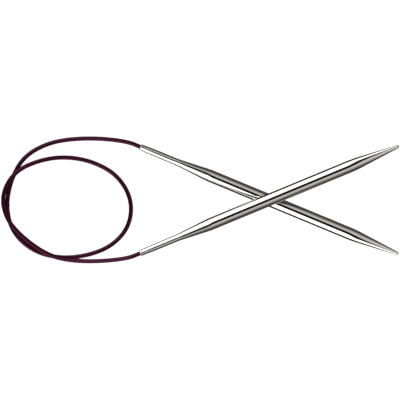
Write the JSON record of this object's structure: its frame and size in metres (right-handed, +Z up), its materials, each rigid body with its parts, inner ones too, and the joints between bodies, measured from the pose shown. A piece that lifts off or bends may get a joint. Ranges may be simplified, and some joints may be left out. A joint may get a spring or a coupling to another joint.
{
  "type": "circular knitting needle",
  "caption": "Two crossed metal knitting needles with tapered points and slim necks, joined by one thin flexible cable lying in a loose loop.",
  "frame": {"origin": "the middle of the two needles in plan, on the surface that they lie on", "axes": "+X from the cable's loop towards the points, along the line that halves the angle between the crossed needles; +Z up"},
  "size_m": [0.1922, 0.0614, 0.0126],
  "materials": {
    "plated_metal": "polished nickel plate on brass",
    "sleeve_steel": "bright drawn steel, crimped",
    "cable_nylon": "smooth extruded nylon"
  },
  "bodies": {
    "cable_and_bottom_sleeve": {"cable": "cable_nylon", "bottom_swivel_sleeve": "sleeve_steel"},
    "top_sleeve": {"top_swivel_sleeve": "sleeve_steel"},
    "bottom_needle": {"bottom_point": "plated_metal", "bottom_shank_tube": "plated_metal", "bottom_tail_ferrule": "plated_metal"},
    "top_needle": {"top_point": "plated_metal", "top_shank_tube": "plated_metal", "top_tail_ferrule": "plated_metal"}
  },
  "joints": [
    {"name": "cable_flex", "type": "hinge", "parent": "cable_and_bottom_sleeve", "child": "top_sleeve", "pos_m": [-0.0985, -0.0025, 0.0024], "axis": [0, 0, 1], "range_deg": [-35, 35], "stiffness_Nm_per_rad": 0.007, "deforming": ["cable"]},
    {"name": "bottom_needle_turn", "type": "hinge", "parent": "cable_and_bottom_sleeve", "child": "bottom_needle", "pos_m": [-0.06236, 0.02566, 0.003], "axis": [0.9239, -0.3827, 0], "continuous": true},
    {"name": "top_needle_turn", "type": "hinge", "parent": "top_sleeve", "child": "top_needle", "pos_m": [-0.06236, -0.02566, 0.0096], "axis": [0.9239, 0.3827, 0], "continuous": true}
  ]
}
